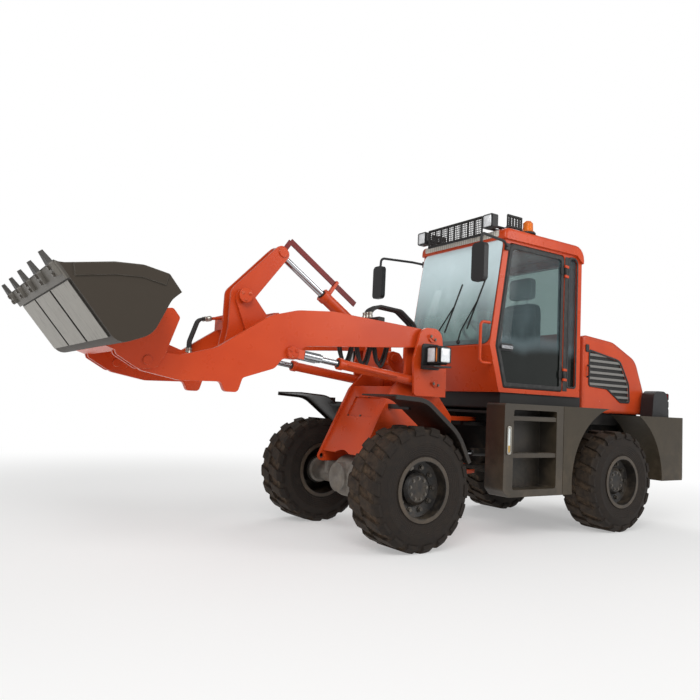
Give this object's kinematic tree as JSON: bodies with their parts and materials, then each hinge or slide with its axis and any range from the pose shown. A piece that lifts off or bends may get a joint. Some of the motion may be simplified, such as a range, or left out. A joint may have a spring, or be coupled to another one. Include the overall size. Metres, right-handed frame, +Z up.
{
  "type": "wheel loader",
  "caption": "Compact articulated wheel loader with enclosed cab, Z-bar boom, toothed bucket rolled back, lugged tyres and hinged engine hood.",
  "frame": {"origin": "middle of the machine's bounding box, on the ground", "axes": "+X forward to the bucket, +Y left, +Z up"},
  "size_m": [6.4716, 1.83, 2.881],
  "materials": {
    "paint_orange": "gloss enamel",
    "paint_dark": "satin enamel",
    "black_metal": "satin black",
    "worn_steel": "worn by soil",
    "chrome": "polished rod",
    "cast_iron": "painted casting",
    "hose": "woven cover",
    "tyre": "dull rubber",
    "glass": "clear",
    "black_plastic": "matt",
    "lamp": "lamp shell",
    "amber": "clear amber",
    "seat": "vinyl",
    "level_red": "dark red"
  },
  "bodies": {
    "rear_frame": {"rear_chassis": "black_metal", "engine": "cast_iron", "counterweight": "paint_dark", "tow_hitch": "black_metal", "rear_axle": "cast_iron", "step_boxes": "paint_dark", "rear_fenders": "paint_dark", "cab_shell": "paint_orange", "cab_roof": "paint_orange", "cab_glass": "glass", "seat": "seat", "steering_column": "black_plastic", "roof_guard": "black_metal", "lamps": "lamp", "beacon": "amber", "mirrors": "black_plastic", "grab_rails": "paint_orange"},
    "front_frame": {"front_frame": "paint_orange", "frame_cross": "paint_orange", "front_axle": "cast_iron", "front_fenders": "paint_dark", "headlamps": "black_plastic"},
    "boom": {"boom": "paint_orange", "boom_tube": "paint_orange", "boom_hoses": "hose", "boom_pipes": "paint_orange"},
    "bucket": {"bucket": "paint_dark", "bucket_edge": "worn_steel", "coupler": "paint_orange"},
    "rocker": {"rocker": "paint_orange"},
    "tilt_link": {"tilt_link": "paint_orange"},
    "tilt_barrel": {"tilt_barrel": "paint_orange"},
    "tilt_rod": {"tilt_rod": "chrome", "level_bar": "level_red"},
    "lift_barrels": {"lift_barrels": "paint_orange"},
    "lift_rods": {"lift_rods": "chrome"},
    "hood": {"hood": "paint_orange"},
    "door_left": {"door_left": "black_metal", "door_glass_left": "glass"},
    "steer_barrel_left": {"steer_barrel_left": "black_metal"},
    "steer_rod_left": {"steer_rod_left": "chrome"},
    "door_right": {"door_right": "black_metal", "door_glass_right": "glass"},
    "steer_barrel_right": {"steer_barrel_right": "black_metal"},
    "steer_rod_right": {"steer_rod_right": "chrome"},
    "wheel_front_left": {"tyre_front_left": "tyre", "rim_front_left": "black_metal"},
    "wheel_front_right": {"tyre_front_right": "tyre", "rim_front_right": "black_metal"},
    "wheel_rear_left": {"tyre_rear_left": "tyre", "rim_rear_left": "black_metal"},
    "wheel_rear_right": {"tyre_rear_right": "tyre", "rim_rear_right": "black_metal"}
  },
  "joints": [
    {"name": "steer", "type": "hinge", "parent": "rear_frame", "child": "front_frame", "pos_m": [-0.71581, 0, 0.7], "axis": [0, 0, 1], "range_deg": [-30, 30]},
    {"name": "boom_lift", "type": "hinge", "parent": "front_frame", "child": "boom", "pos_m": [0.10119, 0, 1.67], "axis": [0, -1, 0], "range_deg": [-27, 48]},
    {"name": "bucket_tilt", "type": "hinge", "parent": "boom", "child": "bucket", "pos_m": [2.48119, 0, 1.306], "axis": [0, 1, 0], "range_deg": [0, 130]},
    {"name": "rocker_turn", "type": "hinge", "parent": "boom", "child": "rocker", "pos_m": [1.68119, 0, 1.865], "axis": [0, -1, 0], "range_deg": [-0.5, 35.22]},
    {"name": "link_turn", "type": "hinge", "parent": "rocker", "child": "tilt_link", "pos_m": [1.78119, 0, 1.26], "axis": [0, 1, 0], "range_deg": [-0.5, 52.33]},
    {"name": "tilt_barrel_turn", "type": "hinge", "parent": "boom", "child": "tilt_barrel", "pos_m": [0.22119, 0, 1.5], "axis": [0, -1, 0], "range_deg": [-5.49, 0.5]},
    {"name": "tilt_rod_slide", "type": "slide", "parent": "tilt_barrel", "child": "tilt_rod", "axis": [-0.8298, 0, -0.5581], "range_m": [-0.002, 0.28986]},
    {"name": "lift_barrel_turn", "type": "hinge", "parent": "front_frame", "child": "lift_barrels", "pos_m": [0.05119, 0, 1.28], "axis": [0, -1, 0], "range_deg": [-24.26, 42.74]},
    {"name": "lift_rod_slide", "type": "slide", "parent": "lift_barrels", "child": "lift_rods", "axis": [0.9929, 0, 0.1185], "range_m": [-0.16371, 0.28948]},
    {"name": "steer_barrel_turn_left", "type": "hinge", "parent": "rear_frame", "child": "steer_barrel_left", "pos_m": [-0.96081, 0.33, 0.7], "axis": [0, 0, 1], "range_deg": [-16.21, 16.21]},
    {"name": "steer_rod_slide_left", "type": "slide", "parent": "steer_barrel_left", "child": "steer_rod_left", "axis": [0.9869, -0.1613, 0], "range_m": [-0.15077, 0.15077]},
    {"name": "steer_barrel_turn_right", "type": "hinge", "parent": "rear_frame", "child": "steer_barrel_right", "pos_m": [-0.96081, -0.33, 0.7], "axis": [0, 0, 1], "range_deg": [-16.21, 16.21]},
    {"name": "steer_rod_slide_right", "type": "slide", "parent": "steer_barrel_right", "child": "steer_rod_right", "axis": [0.9869, 0.1613, 0], "range_m": [-0.15077, 0.15077]},
    {"name": "door_left_swing", "type": "hinge", "parent": "rear_frame", "child": "door_left", "pos_m": [-1.44681, 0.574, 2], "axis": [0, 0, 1], "range_deg": [0, 80]},
    {"name": "door_right_swing", "type": "hinge", "parent": "rear_frame", "child": "door_right", "pos_m": [-1.44681, -0.574, 2], "axis": [0, 0, -1], "range_deg": [0, 80]},
    {"name": "hood_lift", "type": "hinge", "parent": "rear_frame", "child": "hood", "pos_m": [-2.87281, 0, 1.135], "axis": [0, -1, 0], "range_deg": [0, 50]},
    {"name": "wheel_front_left_spin", "type": "hinge", "parent": "front_frame", "child": "wheel_front_left", "pos_m": [0.50119, 0.715, 0.47], "axis": [0, 1, 0], "continuous": true},
    {"name": "wheel_front_right_spin", "type": "hinge", "parent": "front_frame", "child": "wheel_front_right", "pos_m": [0.50119, -0.715, 0.47], "axis": [0, 1, 0], "continuous": true},
    {"name": "wheel_rear_left_spin", "type": "hinge", "parent": "rear_frame", "child": "wheel_rear_left", "pos_m": [-1.93281, 0.715, 0.47], "axis": [0, 1, 0], "continuous": true},
    {"name": "wheel_rear_right_spin", "type": "hinge", "parent": "rear_frame", "child": "wheel_rear_right", "pos_m": [-1.93281, -0.715, 0.47], "axis": [0, 1, 0], "continuous": true}
  ],
  "couplings": [
    {"joint": "rocker_turn", "follows": "bucket_tilt", "ratio": 0.26709},
    {"joint": "link_turn", "follows": "bucket_tilt", "ratio": 0.39866},
    {"joint": "tilt_barrel_turn", "follows": "bucket_tilt", "ratio": -0.038398},
    {"joint": "tilt_rod_slide", "follows": "bucket_tilt", "m_per_rad": 0.12687},
    {"joint": "lift_barrel_turn", "follows": "boom_lift", "ratio": 0.87994},
    {"joint": "lift_rod_slide", "follows": "boom_lift", "m_per_rad": 0.34315},
    {"joint": "steer_barrel_turn_left", "follows": "steer", "ratio": 0.52375},
    {"joint": "steer_rod_slide_left", "follows": "steer", "m_per_rad": -0.28414},
    {"joint": "steer_barrel_turn_right", "follows": "steer", "ratio": 0.52375},
    {"joint": "steer_rod_slide_right", "follows": "steer", "m_per_rad": 0.28414}
  ]
}
